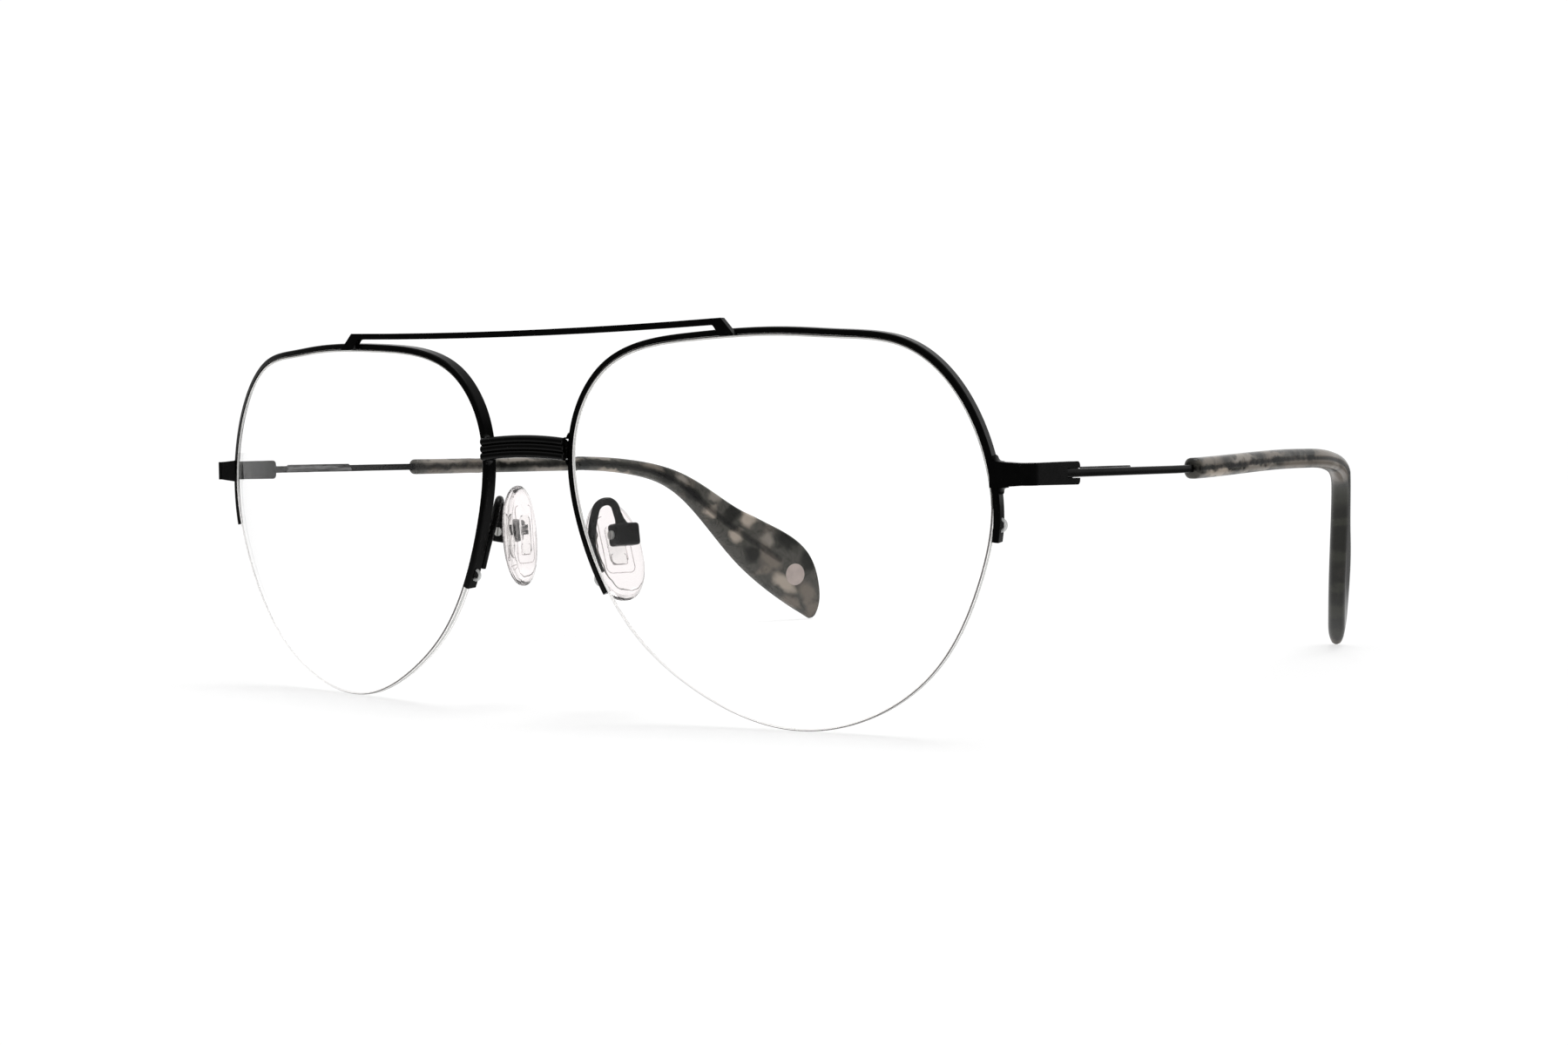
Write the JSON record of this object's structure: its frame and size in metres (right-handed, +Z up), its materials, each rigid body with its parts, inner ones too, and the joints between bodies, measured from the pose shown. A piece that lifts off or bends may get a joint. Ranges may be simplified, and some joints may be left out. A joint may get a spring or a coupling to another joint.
{
  "type": "aviator spectacles",
  "caption": "Semi-rimless aviator spectacles: thin black half rims, straight brow bar, ribbed bridge, clear lenses on nylon thread, rocking nose pads, folding temples with marbled sleeves.",
  "frame": {"origin": "bottom centre of the box round the open spectacles, on the table that they stand on", "axes": "+X to the wearer's left, +Y back towards the ears (the wearer looks along -Y), +Z up"},
  "size_m": [0.1406, 0.1412, 0.0504],
  "materials": {
    "frame_paint": "satin black lacquer on drawn wire and sheet",
    "plate_paint": "satin black, bare of any marking",
    "bright_steel": "bright turned screws",
    "lens_clear": "polished clear lens blank",
    "liner_nylon": "translucent nylon strip",
    "thread_nylon": "clear nylon monofilament",
    "acetate_marbled": "polished marbled cellulose acetate, dark grey, mid grey and cream",
    "disc_inlay": "satin round inlay, bare",
    "pad_silicone": "clear soft silicone",
    "pad_core": "clear hard insert moulded into the pad"
  },
  "bodies": {
    "front": {"brow_bar": "frame_paint", "bridge": "frame_paint", "rim_left": "frame_paint", "rim_right": "frame_paint", "rim_liner_left": "liner_nylon", "rim_liner_right": "liner_nylon", "lens_left": "lens_clear", "lens_right": "lens_clear", "lens_thread_left": "thread_nylon", "lens_thread_right": "thread_nylon", "end_piece_left": "frame_paint", "end_piece_right": "frame_paint", "front_knuckles_left": "frame_paint", "front_knuckles_right": "frame_paint", "hinge_screw_left": "bright_steel", "hinge_screw_right": "bright_steel", "pad_arm_left": "frame_paint", "pad_arm_right": "frame_paint", "pad_box_left": "frame_paint", "pad_box_right": "frame_paint", "pad_screw_left": "bright_steel", "pad_screw_right": "bright_steel"},
    "left_temple": {"temple_block_left": "frame_paint", "temple_knuckle_left": "frame_paint", "temple_wire_left": "frame_paint", "marking_plate_left": "plate_paint", "temple_sleeve_left": "acetate_marbled"},
    "right_temple": {"temple_block_right": "frame_paint", "temple_knuckle_right": "frame_paint", "temple_wire_right": "frame_paint", "marking_plate_right": "plate_paint", "temple_sleeve_right": "acetate_marbled", "tip_disc_right": "disc_inlay"},
    "left_pad": {"nose_pad_left": "pad_silicone", "pad_mount_left": "pad_core"},
    "right_pad": {"nose_pad_right": "pad_silicone", "pad_mount_right": "pad_core"}
  },
  "joints": [
    {"name": "left_temple_hinge", "type": "hinge", "parent": "front", "child": "left_temple", "pos_m": [0.0672, -0.05801, 0.03141], "axis": [0, 0, 1], "range_deg": [0, 84]},
    {"name": "right_temple_hinge", "type": "hinge", "parent": "front", "child": "right_temple", "pos_m": [-0.0672, -0.05801, 0.03141], "axis": [0, 0, -1], "range_deg": [0, 74]},
    {"name": "left_pad_rock", "type": "hinge", "parent": "front", "child": "left_pad", "pos_m": [0.0106, -0.06221, 0.02356], "axis": [0.2924, 0.9563, 0], "range_deg": [-3, 27]},
    {"name": "right_pad_rock", "type": "hinge", "parent": "front", "child": "right_pad", "pos_m": [-0.0106, -0.06221, 0.02356], "axis": [-0.2924, 0.9563, 0], "range_deg": [-3, 27]}
  ]
}
